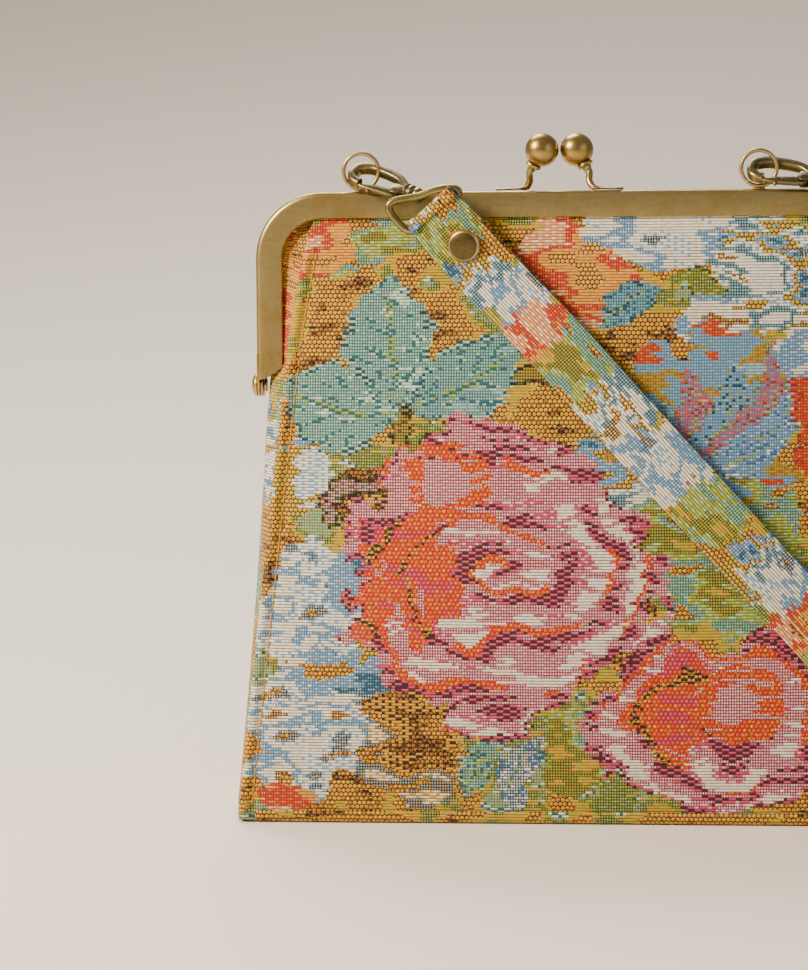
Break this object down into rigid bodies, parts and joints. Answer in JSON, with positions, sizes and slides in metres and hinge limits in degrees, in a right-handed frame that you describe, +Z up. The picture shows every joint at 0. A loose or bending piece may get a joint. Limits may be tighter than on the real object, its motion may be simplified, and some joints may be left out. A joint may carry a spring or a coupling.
{
  "type": "coin purse",
  "caption": "Tapestry-cloth purse on a hinged kiss-lock metal frame with a ball clasp, side gussets, a flat base and a clip-on cloth strap.",
  "frame": {"origin": "middle of the purse's base on the surface it stands on", "axes": "+X along the frame to the purse's right as seen from the front, +Y to the back, +Z up"},
  "size_m": [0.2931, 0.071, 0.2237],
  "materials": {
    "antique_brass": "satin antique brass, worn bright on the edges",
    "clasp_brass": "satin antique brass, polished by handling",
    "dark_brass": "dark antique brass, semi-gloss",
    "cap_brass": "dark antique brass with a lighter rim",
    "tapestry": "coarse woven floral tapestry in gold, rose, orange, teal and cream",
    "gusset_tapestry": "coarse woven tapestry, mostly gold",
    "strap_tapestry": "coarse woven tapestry in lime, gold, blue and cream",
    "lining_cotton": "plain cotton, matte",
    "paper_cord": "twisted kraft paper cord",
    "base_board": "grey bookbinding board"
  },
  "bodies": {
    "purse": {"front_frame": "antique_brass", "left_hinge_rivet": "antique_brass", "right_hinge_rivet": "antique_brass", "front_clasp_arm": "antique_brass", "left_strap_ring": "antique_brass", "right_strap_ring": "antique_brass", "front_clasp_ball": "clasp_brass", "left_hook_body": "dark_brass", "left_hook_pin": "dark_brass", "left_hook_eye": "dark_brass", "right_hook_body": "dark_brass", "right_hook_pin": "dark_brass", "right_hook_eye": "dark_brass", "left_strap_rivet": "cap_brass", "right_strap_rivet": "cap_brass", "front_panel": "tapestry", "back_panel": "tapestry", "base_panel": "tapestry", "left_gusset": "gusset_tapestry", "right_gusset": "gusset_tapestry", "left_gusset_front_top": "gusset_tapestry", "right_gusset_front_top": "gusset_tapestry", "strap": "strap_tapestry", "left_strap_end": "strap_tapestry", "right_strap_end": "strap_tapestry", "front_lining": "lining_cotton", "back_lining": "lining_cotton", "left_lining": "lining_cotton", "right_lining": "lining_cotton", "base_lining": "lining_cotton", "slip_pocket": "lining_cotton", "front_frame_cord": "paper_cord", "base_board": "base_board"},
    "back_half": {"back_frame": "antique_brass", "back_frame_cord": "paper_cord", "back_clasp_arm": "antique_brass", "back_clasp_ball": "clasp_brass", "back_panel_top": "tapestry", "back_lining_top": "lining_cotton", "left_gusset_back_top": "gusset_tapestry", "right_gusset_back_top": "gusset_tapestry"},
    "left_gate": {"left_hook_gate": "dark_brass"},
    "right_gate": {"right_hook_gate": "dark_brass"}
  },
  "joints": [
    {"name": "frame_opening", "type": "hinge", "parent": "purse", "child": "back_half", "pos_m": [0, 0, 0.1415], "axis": [-1, 0, 0], "range_deg": [0, 60], "deforming": ["back_panel_top", "back_lining_top", "left_gusset_back_top", "right_gusset_back_top"]},
    {"name": "left_gate_pivot", "type": "hinge", "parent": "purse", "child": "left_gate", "pos_m": [-0.05332, -0.01002, 0.20444], "axis": [0.026, 0.639, -0.7688], "range_deg": [0, 9], "stiffness_Nm_per_rad": 0.005, "springref_deg": -22.92},
    {"name": "right_gate_pivot", "type": "hinge", "parent": "purse", "child": "right_gate", "pos_m": [0.07924, -0.00671, 0.20747], "axis": [0.0208, 0.6391, -0.7689], "range_deg": [0, 9], "stiffness_Nm_per_rad": 0.005, "springref_deg": -22.92}
  ]
}
